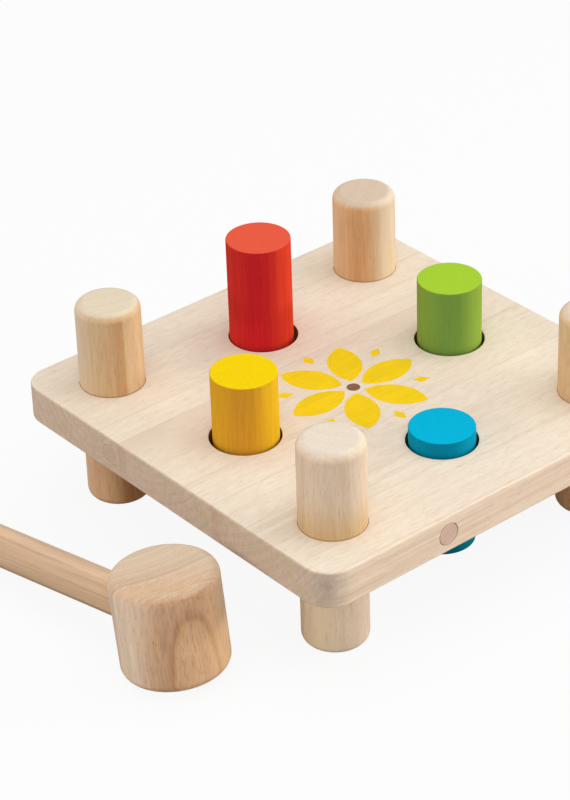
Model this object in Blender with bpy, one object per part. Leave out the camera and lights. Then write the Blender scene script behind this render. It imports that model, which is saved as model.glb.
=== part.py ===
"""Peg pounding bench with its mallet, as separate wooden pieces.

The deck is a square panel glued up from three staves.  Four leg dowels pass
right through it and stand out alike above and below, so the bench works
either way up.  Four loose pegs slide in the deck's holes.  Each peg rubs on
a rubber rod that lies in a bore drilled from the deck's edge, closed by a
long retaining dowel whose end shows in that edge.

Units are metres.  X runs along the grain of the staves, Z is up, and the
floor is at Z = 0.  The set's footprint is centred on the origin.
"""

import math

import bmesh
import bpy
from mathutils import Matrix, Vector

# Clearance that parts touching pieces, and how far a cutter overshoots
GAP = 0.0003
OVERSHOOT = 0.005

# Deck panel
DECK_SIDE = 0.179
DECK_THICKNESS = 0.015
DECK_CORNER_RADIUS = 0.011
DECK_EDGE_ROUND = 0.001
STAVE_JOINT = 0.0275

# Legs
LEG_DIAMETER = 0.025
LEG_LENGTH = 0.085
LEG_OFFSET = 0.064
LEG_END_ROUND = 0.0032

# Pegs: PEG_RISE is the height of each peg's top above the deck, and PEG_PLAY
# how far a loose peg stands off the middle of its hole
PEG_DIAMETER = 0.025
PEG_LENGTH = 0.049
PEG_OFFSET = 0.0512
PEG_EDGE_ROUND = 0.0005
HOLE_DIAMETER = 0.0272
PEG_RISE = {"yellow": 0.0275, "blue": 0.006, "green": 0.0265, "red": 0.043}
PEG_PLAY = {"red": (-0.0005, 0.0004), "yellow": (0.0004, 0.0)}

# Friction rods and the dowels that hold them in: BORE_SLANT turns each bore off
# square, so that it enters the deck's edge a little nearer the edge's middle
ROD_DIAMETER = 0.0086
ROD_LENGTH = 0.022
BORE_SLANT = math.radians(1.0)
PLUG_RECESS = 0.0002

# Mallet: place of the head's centre from the middle of the deck, and the
# compass angle that the handle points to
HEAD_DIAMETER = 0.040
HEAD_LENGTH = 0.040
HEAD_ROUND = 0.004
HANDLE_DIAMETER = 0.015
HANDLE_REACH = 0.130
HANDLE_SEAT = 0.025
HANDLE_ROUND = 0.002
MALLET_X = -0.119
MALLET_Y = -0.0388
MALLET_HEADING = math.radians(97.0)

# Values worked out from the driving dimensions
DECK_UNDERSIDE = (LEG_LENGTH - DECK_THICKNESS) / 2
DECK_TOP = DECK_UNDERSIDE + DECK_THICKNESS
DECK_MIDDLE = DECK_UNDERSIDE + DECK_THICKNESS / 2
ROD_REACH = (PEG_DIAMETER + ROD_DIAMETER) / 2 + GAP
QUARTER_TURN = math.pi / 2

# Facets
DOWEL_SIDES = 40
ROD_SIDES = 24
HEAD_SIDES = 48
CORNER_STEPS = 8
ROUND_STEPS = 3
SMOOTHING_ANGLE = math.radians(35.0)

# Colours are linear; the pegs are stained and the rest is bare wood
COLOURS = {
    "deck": (0.80, 0.67, 0.50),
    "leg": (0.62, 0.42, 0.23),
    "dowel": (0.52, 0.37, 0.26),
    "mallet": (0.60, 0.40, 0.22),
    "rubber": (0.03, 0.03, 0.03),
    "red": (0.62, 0.03, 0.02),
    "yellow": (0.80, 0.50, 0.01),
    "green": (0.24, 0.46, 0.04),
    "blue": (0.0, 0.28, 0.48),
}


def clear_scene():
    """Remove every object that the scene starts with."""
    for item in list(bpy.data.objects):
        bpy.data.objects.remove(item, do_unlink=True)


def finish(name, colour, roughness=0.6):
    """Return a new Principled material for one piece."""
    material = bpy.data.materials.new(name)
    material.use_nodes = True
    shader = material.node_tree.nodes["Principled BSDF"]
    shader.inputs["Base Color"].default_value = (*colour, 1.0)
    shader.inputs["Roughness"].default_value = roughness
    shader.inputs["Metallic"].default_value = 0.0
    return material


def empty(name, parent=None, location=(0.0, 0.0, 0.0), turn=(0.0, 0.0, 0.0)):
    """Return an empty that carries and turns other pieces."""
    holder = bpy.data.objects.new(name, None)
    bpy.context.collection.objects.link(holder)
    holder.parent = parent
    holder.location = location
    holder.rotation_euler = turn
    return holder


def piece(name, shape, parent, location=(0.0, 0.0, 0.0), colour=None, roughness=0.6):
    """Make a named object from a bmesh, smooth on its round faces."""
    mesh = bpy.data.meshes.new(name)
    bmesh.ops.recalc_face_normals(shape, faces=shape.faces)
    shape.to_mesh(mesh)
    shape.free()
    mesh.shade_smooth()
    mesh.set_sharp_from_angle(angle=SMOOTHING_ANGLE)
    result = bpy.data.objects.new(name, mesh)
    bpy.context.collection.objects.link(result)
    result.parent = parent
    result.location = location
    if colour is not None:
        mesh.materials.append(finish(name, colour, roughness))
    return result


def dowel(diameter, low, high, end_round=0.0, sides=DOWEL_SIDES, axis="Z"):
    """Return a round bar along an axis, its ends rounded where asked."""
    shape = bmesh.new()
    bmesh.ops.create_cone(
        shape,
        cap_ends=True,
        segments=sides,
        radius1=diameter / 2,
        radius2=diameter / 2,
        depth=high - low,
        matrix=Matrix.Translation((0.0, 0.0, (low + high) / 2)),
    )
    if end_round > 0.0:
        rims = [edge for edge in shape.edges if abs(edge.verts[0].co.z - edge.verts[1].co.z) < GAP]
        bmesh.ops.bevel(
            shape,
            geom=rims,
            offset=end_round,
            offset_type="OFFSET",
            segments=ROUND_STEPS,
            profile=0.5,
            affect="EDGES",
            material=-1,
        )
    if axis == "Y":
        bmesh.ops.rotate(shape, verts=shape.verts, matrix=Matrix.Rotation(-QUARTER_TURN, 3, "X"))
    if axis == "X":
        bmesh.ops.rotate(shape, verts=shape.verts, matrix=Matrix.Rotation(QUARTER_TURN, 3, "Y"))
    return shape


def block(low, high):
    """Return a plain block between two corners."""
    shape = bmesh.new()
    size = Vector(high) - Vector(low)
    middle = (Vector(high) + Vector(low)) / 2
    bmesh.ops.create_cube(shape, size=1.0, matrix=Matrix.Translation(middle) @ Matrix.Diagonal((*size, 1.0)))
    return shape


def deck_blank():
    """Return the whole deck before it is parted into staves or bored."""
    half = DECK_SIDE / 2
    shape = block((-half, -half, DECK_UNDERSIDE), (half, half, DECK_TOP))
    uprights = [edge for edge in shape.edges if abs(edge.verts[0].co.z - edge.verts[1].co.z) > GAP]
    bmesh.ops.bevel(
        shape,
        geom=uprights,
        offset=DECK_CORNER_RADIUS,
        offset_type="OFFSET",
        segments=CORNER_STEPS,
        profile=0.5,
        affect="EDGES",
        material=-1,
    )
    rims = [edge for edge in shape.edges if abs(edge.verts[0].co.z - edge.verts[1].co.z) < GAP]
    bmesh.ops.bevel(
        shape,
        geom=rims,
        offset=DECK_EDGE_ROUND,
        offset_type="OFFSET",
        segments=ROUND_STEPS,
        profile=0.5,
        affect="EDGES",
        material=-1,
    )
    return shape


def as_cutter(item):
    """Hide an object that only cuts others."""
    item.hide_render = True
    item.display_type = "WIRE"
    return item


def boolean(item, cutter, operation):
    """Cut one object with another by an exact Boolean."""
    cut = item.modifiers.new(operation.lower(), "BOOLEAN")
    cut.object = cutter
    cut.operation = operation
    cut.solver = "EXACT"


def leg_places():
    """Give each leg's name and its place on the deck."""
    reach = LEG_OFFSET
    return {
        "front": (-reach, -reach),
        "right": (reach, -reach),
        "back": (reach, reach),
        "left": (-reach, reach),
    }


def peg_stations():
    """Give each peg's colour with its quarter turn round the deck."""
    return {colour: step * QUARTER_TURN for step, colour in enumerate(PEG_RISE)}


def peg_place(turn):
    """Return a peg's place on the deck, a quarter turn from its neighbour."""
    return (-PEG_OFFSET * math.cos(turn), -PEG_OFFSET * math.sin(turn))


def peg_shift(colour):
    """Return how far a loose peg stands off the middle of its hole."""
    return Vector(PEG_PLAY.get(colour, (0.0, 0.0)))


def bore_frame(name, root, colour, turn):
    """Return an empty at the middle of a friction rod, with Y along its bore.

    The rod lies between its peg and the middle of the deck, a gap off the peg.
    """
    inward = Vector((math.cos(turn), math.sin(turn)))
    x, y = Vector(peg_place(turn)) + inward * (ROD_REACH + inward.dot(peg_shift(colour)))
    return empty(name, root, (x, y, DECK_MIDDLE), (0.0, 0.0, turn + BORE_SLANT))


def hole_cutters(root):
    """Make the round cutters for the legs, the pegs and the rods' bores."""
    cutters = []
    low = DECK_UNDERSIDE - OVERSHOOT
    high = DECK_TOP + OVERSHOOT
    for name, (x, y) in leg_places().items():
        shape = dowel(LEG_DIAMETER + 2 * GAP, low, high)
        cutters.append(as_cutter(piece(f"cut_leg_{name}", shape, root, (x, y, 0.0))))
    for colour, turn in peg_stations().items():
        x, y = peg_place(turn)
        shape = dowel(HOLE_DIAMETER, low, high)
        cutters.append(as_cutter(piece(f"cut_peg_{colour}", shape, root, (x, y, 0.0))))
        mouth = -DECK_SIDE / 2 - OVERSHOOT
        end = ROD_LENGTH / 2 + GAP
        shape = dowel(ROD_DIAMETER + 2 * GAP, mouth, end, sides=ROD_SIDES, axis="Y")
        bore = bore_frame(f"bore_{colour}", root, colour, turn)
        cutters.append(as_cutter(piece(f"cut_bore_{colour}", shape, bore)))
    return cutters


def make_staves(root, cutters):
    """Part the deck into its three staves and bore them."""
    half = DECK_SIDE / 2 + OVERSHOOT
    bands = {
        "front": (-half, -STAVE_JOINT - GAP / 2),
        "middle": (-STAVE_JOINT + GAP / 2, STAVE_JOINT - GAP / 2),
        "back": (STAVE_JOINT + GAP / 2, half),
    }
    for name, (near, far) in bands.items():
        stave = piece(f"deck_stave_{name}", deck_blank(), root, colour=COLOURS["deck"])
        band = block((-half, near, DECK_UNDERSIDE - OVERSHOOT), (half, far, DECK_TOP + OVERSHOOT))
        boolean(stave, as_cutter(piece(f"cut_band_{name}", band, root)), "INTERSECT")
        for cutter in cutters:
            boolean(stave, cutter, "DIFFERENCE")


def make_legs(root):
    """Make the four dowels that carry the deck."""
    for name, (x, y) in leg_places().items():
        shape = dowel(LEG_DIAMETER, 0.0, LEG_LENGTH, LEG_END_ROUND)
        piece(f"leg_{name}", shape, root, (x, y, 0.0), COLOURS["leg"])


def make_pegs(root):
    """Make the pegs, each with its origin on the axis that it slides along."""
    for colour, turn in peg_stations().items():
        x, y = Vector(peg_place(turn)) + peg_shift(colour)
        foot = DECK_TOP + PEG_RISE[colour] - PEG_LENGTH
        shape = dowel(PEG_DIAMETER, 0.0, PEG_LENGTH, PEG_EDGE_ROUND)
        piece(f"peg_{colour}", shape, root, (x, y, foot), COLOURS[colour], roughness=0.5)


def make_friction_units(root):
    """Make the rubber rod beside each peg and the dowel that closes its bore."""
    for colour, turn in peg_stations().items():
        station = bore_frame(f"station_{colour}", root, colour, turn)
        rod = dowel(ROD_DIAMETER, -ROD_LENGTH / 2, ROD_LENGTH / 2, sides=ROD_SIDES, axis="Y")
        piece(f"friction_rod_{colour}", rod, station, colour=COLOURS["rubber"], roughness=0.8)
        mouth = PLUG_RECESS - DECK_SIDE / 2
        stopper = dowel(ROD_DIAMETER, mouth, -ROD_LENGTH / 2 - GAP, sides=ROD_SIDES, axis="Y")
        piece(f"retaining_dowel_{colour}", stopper, station, colour=COLOURS["dowel"])


def mallet_tilt():
    """Return the tilt at which the head's rim and the handle's end both touch the floor."""
    drop = HEAD_LENGTH / 2 - HEAD_ROUND - HANDLE_DIAMETER / 2 + HANDLE_ROUND
    run = HANDLE_REACH - HANDLE_ROUND - HEAD_DIAMETER / 2 + HEAD_ROUND
    rise = HEAD_ROUND - HANDLE_ROUND
    return math.atan2(drop, run) + math.asin(rise / math.hypot(drop, run))


def make_mallet(root):
    """Make the mallet, leaning on its head's rim and the end of its handle."""
    tilt = mallet_tilt()
    height = (HEAD_LENGTH / 2 - HEAD_ROUND) * math.cos(tilt)
    height += (HEAD_DIAMETER / 2 - HEAD_ROUND) * math.sin(tilt) + HEAD_ROUND
    lean = empty("mallet_lean", root, (MALLET_X, MALLET_Y, height), (0.0, tilt, MALLET_HEADING))
    shape = dowel(HEAD_DIAMETER, -HEAD_LENGTH / 2, HEAD_LENGTH / 2, HEAD_ROUND, HEAD_SIDES)
    head = piece("mallet_head", shape, lean, colour=COLOURS["mallet"])
    seat = HEAD_DIAMETER / 2 - HANDLE_SEAT
    shape = dowel(HANDLE_DIAMETER + 2 * GAP, seat - GAP, HEAD_DIAMETER, axis="X")
    boolean(head, as_cutter(piece("cut_handle_seat", shape, lean)), "DIFFERENCE")
    shape = dowel(HANDLE_DIAMETER, seat, HANDLE_REACH, HANDLE_ROUND, axis="X")
    piece("mallet_handle", shape, lean, colour=COLOURS["mallet"])


def centre_footprint(root):
    """Move the root so that the set's box stands centred on the origin."""
    bpy.context.view_layer.update()
    depsgraph = bpy.context.evaluated_depsgraph_get()
    corners = []
    for item in bpy.data.objects:
        if item.type == "MESH" and not item.hide_render:
            solid = item.evaluated_get(depsgraph)
            corners += [solid.matrix_world @ vertex.co for vertex in solid.data.vertices]
    for axis in range(2):
        values = [corner[axis] for corner in corners]
        root.location[axis] = -(min(values) + max(values)) / 2


def main():
    """Build every piece of the set."""
    clear_scene()
    root = empty("bench_middle")
    make_staves(root, hole_cutters(root))
    make_legs(root)
    make_pegs(root)
    make_friction_units(root)
    make_mallet(root)
    centre_footprint(root)


main()
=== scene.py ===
"""Peg pounding bench with its mallet: the visible pieces, laid out as an add-on.

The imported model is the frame.  Each operator makes one piece, or one group of
like pieces, where the frame has it: the deck, the rosette printed on it, the
legs, the pegs, the friction units in the deck's edges, and the mallet.  The
last operator sets up the studio.  Lengths are metres.
"""

import math
from collections import namedtuple

import bmesh
import bpy
from bpy.props import FloatProperty, FloatVectorProperty, IntProperty, PointerProperty
from mathutils import Euler, Matrix, Vector


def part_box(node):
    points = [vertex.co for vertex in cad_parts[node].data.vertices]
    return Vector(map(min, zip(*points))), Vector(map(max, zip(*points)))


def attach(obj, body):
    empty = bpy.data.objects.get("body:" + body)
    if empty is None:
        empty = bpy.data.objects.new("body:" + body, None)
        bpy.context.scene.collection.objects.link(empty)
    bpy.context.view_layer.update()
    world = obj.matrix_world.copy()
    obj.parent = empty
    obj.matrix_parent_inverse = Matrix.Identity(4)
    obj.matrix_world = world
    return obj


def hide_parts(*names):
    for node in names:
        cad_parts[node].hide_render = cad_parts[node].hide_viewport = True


bl_info = {
    "name": "Peg Pounding Bench",
    "version": (1, 0, 0),
    "blender": (4, 5, 0),
    "location": "View3D > Sidebar > Pounding Bench",
    "description": "Makes the visible pieces of a wooden peg pounding bench and its mallet",
    "category": "Add Mesh",
}

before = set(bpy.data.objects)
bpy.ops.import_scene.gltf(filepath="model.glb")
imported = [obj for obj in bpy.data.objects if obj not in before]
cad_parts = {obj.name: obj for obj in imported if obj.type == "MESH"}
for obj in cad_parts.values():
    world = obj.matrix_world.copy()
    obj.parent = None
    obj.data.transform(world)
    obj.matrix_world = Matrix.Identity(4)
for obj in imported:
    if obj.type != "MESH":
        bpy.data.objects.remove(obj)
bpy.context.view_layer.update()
CORNERS = ("front", "right", "back", "left")
DYES = ("red", "yellow", "green", "blue")
ROWS = ("front", "middle", "back")
STAVES = tuple(f"deck_stave_{row}" for row in ROWS)

# Ways that a face may look: along and across the deck's grain, up, and level towards three corners
ALONG = (1.0, 0.0, 0.0)
ACROSS = (0.0, 1.0, 0.0)
UP = (0.0, 0.0, 1.0)
TO_RIGHT = (0.78, -0.63, 0.0)
TO_LEFT = (-0.78, 0.63, 0.0)
TO_FRONT = (-0.63, -0.777, 0.0)
# A quarter turn that lays a piece's Z along X
QUARTER = Matrix.Rotation(math.radians(90.0), 4, "Y")

# Points closer than this are merged
TINY = 1e-6
# How far a point may lie off a hole's radius and still be on its rim
RIM_SLACK = 1e-5
# Faces that meet at more than this keep a sharp edge between them
SHARP = math.radians(40.0)
# How far a cutting bar stands out of the deck
OVERSHOOT = 0.01
# Sides of the round bars: dowels, the small bars in the bores, and the mallet's head
DOWEL_SIDES = 96
SMALL_SIDES = 64
HEAD_SIDES = 128


def middle(node):
    """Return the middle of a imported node's box."""
    low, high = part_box(node)
    return (low + high) / 2


def span(node):
    """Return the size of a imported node's box."""
    low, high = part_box(node)
    return high - low


def deck_box():
    """Return the lowest and highest corner of the three staves together."""
    boxes = [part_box(name) for name in STAVES]
    low = Vector(min(box[0][axis] for box in boxes) for axis in range(3))
    high = Vector(max(box[1][axis] for box in boxes) for axis in range(3))
    return low, high


DECK_LOW, DECK_HIGH = deck_box()
DECK_MIDDLE = (DECK_LOW + DECK_HIGH) / 2
# The deck's own frame: X through it, Y across its grain, Z along it
DECK_GRAIN = Matrix.Translation(DECK_MIDDLE) @ QUARTER
JOINTS = tuple(corner.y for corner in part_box("deck_stave_middle"))


def number(title, note, default, **settings):
    """Return a property for a number that isn't below zero."""
    return FloatProperty(name=title, description=note, default=default, min=0.0, **settings)


def length(title, note, default):
    """Return a property for a length."""
    return number(title, note, default, precision=5, subtype="DISTANCE", unit="LENGTH")


def angle(title, note, degrees):
    """Return a property for an angle, its default given in degrees."""
    return FloatProperty(
        name=title, description=note, default=math.radians(degrees), subtype="ANGLE", unit="ROTATION"
    )


def colour(title, note, default):
    """Return a property for a linear colour."""
    return FloatVectorProperty(
        name=title, description=note, default=default, size=3, min=0.0, max=1.0, subtype="COLOR"
    )


class BenchSizes(bpy.types.PropertyGroup):
    """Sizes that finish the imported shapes."""

    deck_corner: length("Deck corner", "Radius of the deck's four corners", 0.011)
    deck_round: length("Deck round-over", "Radius along the deck's top and bottom rim", 0.0009)
    stave_gap: length("Stave joint", "Gap between two glued staves", 0.00003)
    peg_hole: length("Peg hole", "Diameter of the holes that the pegs slide in", 0.0272)
    peg_reach: length("Peg reach", "From the deck's middle to the middle of a peg's hole", 0.0512)
    hole_ease: length("Hole easing", "Softening of the holes' rims", 0.0004)
    leg_gap: length("Leg joint", "Gap round a leg where it passes through the deck", 0.0001)
    leg_round: length("Leg round-over", "Radius at both ends of a leg", 0.0034)
    peg_round: length("Peg round-over", "Radius at both ends of a peg", 0.0005)
    plug_gap: length("Plug joint", "Gap round a retaining dowel in its bore", 0.00003)
    plug_seam: length("Plug seam", "Play of a dowel whose bore crosses the deck's grain", 0.0002)
    plug_rise: length("Plug rise", "How much longer a dowel is than its packed solid", 0.0001)
    plug_round: length("Plug round-over", "Radius at the ends of a retaining dowel", 0.00015)
    rod_length: length("Rod length", "Length of a rubber rod", 0.022)
    rod_gap: length("Rod gap", "Between a rubber rod and its retaining dowel", 0.0003)
    rod_round: length("Rod round-over", "Radius at the ends of a rubber rod", 0.0008)
    head_round: length("Mallet head round-over", "Radius at both faces of the mallet's head", 0.004)
    head_length: length("Mallet head length", "Length of the head along its grain", 0.040)
    head_diameter: length("Mallet head diameter", "Diameter of the head", 0.040)
    handle_diameter: length("Handle diameter", "Diameter of the mallet's handle", 0.015)
    handle_reach: length("Handle reach", "From the middle of the head to the handle's end", 0.130)
    handle_seat: length("Handle seat", "Depth of the handle in the head", 0.025)
    handle_round: length("Handle round-over", "Radius at the ends of the handle", 0.002)
    mallet_tilt: angle("Mallet tilt", "Tilt at which head and handle both touch the floor", 6.3745)
    mallet_heading: angle("Mallet heading", "Compass angle that the handle points to", 97.0)
    petal_inner: length("Petal start", "Distance of a petal's tip from the rosette's middle", 0.0045)
    petal_outer: length("Petal end", "Distance of a petal's far tip from the rosette's middle", 0.0295)
    petal_half: length("Petal half width", "Half of a petal's greatest width", 0.0066)
    lozenge: length("Lozenge", "Half of a lozenge's length", 0.0034)
    lozenge_slim: number("Lozenge width", "Width of a lozenge as a share of its length", 0.62)
    lozenge_reach: length("Lozenge reach", "Distance of a lozenge from the rosette's middle", 0.0262)
    heart: length("Rosette centre", "Radius of the dot in the rosette's middle", 0.0026)
    rosette_shift: length("Rosette shift", "From the deck's middle to the rosette's, towards -Y", 0.002)
    print_height: length("Ink height", "How far the printed ink stands above the wood", 0.00004)
    petals: IntProperty(
        name="Petals", description="Number of petals in the rosette", default=6, min=3, max=12
    )


class BenchColours(bpy.types.PropertyGroup):
    """Linear colours of the woods, the stains, the ink, the rubber and the floor."""

    deck_pale: colour("Deck, pale", "Between the deck's grain lines", (0.87, 0.77, 0.63))
    deck_dark: colour("Deck, dark", "The deck's grain lines", (0.71, 0.555, 0.42))
    deck_end: colour("Deck, end grain", "The deck's cut ends", (0.80, 0.60, 0.465))
    deck_olive: colour("Deck, end patches", "Patches in the deck's cut ends", (0.655, 0.52, 0.355))
    deck_rose: colour("Deck, rosy bands", "Broad rosy bands of the deck", (0.74, 0.575, 0.455))
    deck_edge: colour("Deck, long edge", "Lines in the deck's two long edges", (0.70, 0.45, 0.28))
    deck_grey: colour("Deck, grey corner", "Worn patch at one corner of the deck", (0.46, 0.385, 0.325))
    # Partly painted shade: drilled wood, made darker for the deep, narrow gaps in the holes.
    bored_wood_and_shade: colour("Bored wood", "Walls of the holes through the deck", (0.27, 0.155, 0.085))
    # Painted shade, darkest where the leg meets the deck
    leg_base: colour("Leg, golden tint", "Tint of a leg just above the deck", (0.84, 0.735, 0.53))
    # Painted shade where a leg meets the deck
    leg_contact_shade: colour("Glue line", "Where a leg meets the deck", (0.33, 0.19, 0.09))
    mallet_pale: colour("Mallet, pale", "Between the mallet's grain lines", (0.91, 0.70, 0.49))
    mallet_dark: colour("Mallet, dark", "The mallet's grain lines", (0.64, 0.46, 0.355))
    mallet_heart: colour("Mallet, heartwood", "Tint inside the arch on the head", (0.91, 0.71, 0.52))
    mallet_rim: colour("Mallet, front rim", "Tint of the end grain towards the front", (0.93, 0.80, 0.70))
    # Painted shade on the handle's underside
    handle_painted_shade: colour("Handle, underside", "Tint of the handle's darker side", (0.81, 0.76, 0.73))
    mallet_end: colour("Mallet, end grain", "The striking faces of the mallet", (0.79, 0.62, 0.455))
    plug: colour("Plug", "Dowel ends in the deck's long edges", (0.72, 0.50, 0.375))
    plug_end: colour("Plug, cut ends", "Dowel ends in the deck's cut ends", (0.665, 0.495, 0.365))
    rubber: colour("Rubber", "The friction rods", (0.028, 0.027, 0.026))
    # The second colour of each stain is painted light: a paler tone on the peg's flanks that the lamps at the
    # right and left light.
    red: colour("Red stain", "Side of the red peg", (0.60, 0.0195, 0.0255))
    red_lit_flank: colour("Red stain, thin", "Where the red stain lies thin", (0.72, 0.063, 0.019))
    red_top: colour("Red stain, end", "End grain of the red peg", (0.78, 0.104, 0.054))
    yellow: colour("Yellow stain", "Side of the yellow peg", (0.745, 0.345, 0.030))
    yellow_lit_flank: colour("Yellow stain, thin", "Where the yellow stain lies thin", (0.82, 0.50, 0.010))
    yellow_top: colour("Yellow stain, end", "End grain of the yellow peg", (0.88, 0.62, 0.004))
    green: colour("Green stain", "Side of the green peg", (0.19, 0.34, 0.064))
    green_lit_flank: colour("Green stain, thin", "Where the green stain lies thin", (0.28, 0.41, 0.045))
    green_top: colour("Green stain, end", "End grain of the green peg", (0.37, 0.60, 0.038))
    blue: colour("Blue stain", "Side of the blue peg", (0.002, 0.25, 0.41))
    blue_lit_flank: colour("Blue stain, thin", "Where the blue stain lies thin", (0.002, 0.31, 0.46))
    blue_top: colour("Blue stain, end", "End grain of the blue peg", (0.002, 0.45, 0.69))
    ink: colour("Rosette ink", "Petals of the printed rosette", (0.93, 0.64, 0.012))
    ink_dark: colour("Rosette centre ink", "Dot in the middle of the rosette", (0.26, 0.12, 0.07))
    floor: colour("Floor", "The floor, as it throws light back on the set", (0.44, 0.44, 0.44))
    floor_shown: colour("Floor, shown", "What the floor shows of its shadows", (0.062, 0.062, 0.062))


class BenchStudio(bpy.types.PropertyGroup):
    """Where the camera stands and how the set is lit."""

    aim: FloatVectorProperty(
        name="Aim", description="Point that the camera looks at", default=(0.001222, 0.008019, 0.05015),
        size=3, subtype="TRANSLATION", unit="LENGTH",
    )
    azimuth: angle("Azimuth", "Turn of the camera round the set", -39.037)
    elevation: angle("Elevation", "Height of the camera above the horizon", 32.154)
    roll: angle("Roll", "Turn of the camera about its own line of sight", 2.022)
    distance: length("Distance", "From the aim to the camera", 1.077372)
    lens: number("Lens", "Focal length on a 36 mm long side", 129.2, unit="CAMERA")
    top_power: number("Top lamp", "Power of the lamp overhead", 14.1, unit="POWER")
    side_power: number("Side lamp", "Power of the lamp at the right", 24.0, unit="POWER")
    front_power: number("Front lamp", "Power of the lamp above the camera", 4.0, unit="POWER")
    fill_power: number("Fill lamp", "Power of the lamp at the left", 7.5, unit="POWER")
    sky: number("Sky", "Strength of the even light all round", 0.3)
    floor_glow: number("Floor glow", "Strength of the white that the camera sees on the floor", 0.913)


WHITE = (1.0, 1.0, 1.0, 1.0)
# Strength and depth of the relief in every finish
BUMP_STRENGTH = 0.35
BUMP_DEPTH = 0.00012
# Each finish: its roughness at both ends of a noise's usual swing, and its specular level
FINISHES = {
    "deck": (0.68, 0.80, 0.12),
    "leg": (0.70, 0.82, 0.12),
    "stain": (0.72, 0.82, 0.02),
    "plug": (0.56, 0.68, 0.12),
    "mallet": (0.62, 0.76, 0.13),
    "ink": (0.66, 0.76, 0.06),
    "rubber": (0.70, 0.85, 0.30),
}

# A pattern of noise: its waves to the metre along X, Y and Z, the noise at which it starts and is
# full, its share at both, and the noise's detail and roughness
Pattern = namedtuple("Pattern", "waves low high first last detail rough", defaults=(0.0, 1.0, 2.0, 0.5))
PATTERNS = {
    "cut_specks": Pattern((1500.0, 1500.0, 300.0), 0.42, 0.72),
    "rosy_cloud": Pattern((26.0, 26.0, 6.0), 0.46, 0.74, 0.0, 0.26, 3.0),
    "rosy_band": Pattern((60.0, 60.0, 16.0), 0.3, 0.7, 0.35, 1.0),
    "long_lines": Pattern((300.0, 300.0, 5.0), 0.55, 0.70, 0.0, 0.30),
    "end_patch": Pattern((170.0, 170.0, 60.0), 0.38, 0.62, 0.0, 0.60, 3.0),
    "saw_marks": Pattern((420.0, 1000.0, 60.0), 0.38, 0.66, 0.0, 0.55, 3.0, 0.7),
    "edge_bands": Pattern((330.0, 40.0, 7.0), 0.46, 0.66, 0.0, 0.26, 2.0, 0.6),
    "edge_lines": Pattern((1700.0, 90.0, 16.0), 0.48, 0.68, 0.0, 0.42, 2.0, 0.6),
    "worn_corner": Pattern((420.0, 420.0, 420.0), 0.3, 0.6, 0.4, 1.0),
    "head_flecks": Pattern((1500.0, 1500.0, 170.0), 0.50, 0.68, 0.0, 0.7, 3.0, 0.7),
    "head_specks": Pattern((1300.0, 1300.0, 600.0), 0.40, 0.70, 0.0, 0.30, 3.0, 0.7),
    "torn_rim": Pattern((900.0, 240.0, 500.0), 0.36, 0.62, 0.45, 1.35, 3.0, 0.7),
    "handle_lines": Pattern((460.0, 460.0, 5.0), 0.56, 0.66, 0.0, 0.55),
    "ink_patch": Pattern((120.0, 120.0, 120.0), 0.3, 0.8, 0.0, 0.5),
    "rubber_bloom": Pattern((140.0, 140.0, 140.0), 0.4, 0.8, 0.0, 1.0, 3.0),
}


class Nodes:
    """A tree of shader nodes, put together step by step."""

    def __init__(self, tree):
        self.tree = tree

    def feed(self, socket, value):
        """Link a socket to a socket, or set its value."""
        if isinstance(value, bpy.types.NodeSocket):
            self.tree.links.new(value, socket)
        else:
            socket.default_value = value

    def step(self, kind, values=None, **settings):
        """Add one node with its settings and inputs."""
        made = self.tree.nodes.new(kind)
        for key, value in settings.items():
            setattr(made, key, value)
        for key, value in (values or {}).items():
            self.feed(made.inputs[key], value)
        return made

    def sums(self, operation, *values, clamp=False):
        """Add one sum and return its result."""
        made = self.step("ShaderNodeMath", dict(enumerate(values)), operation=operation, use_clamp=clamp)
        return made.outputs[0]


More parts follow.
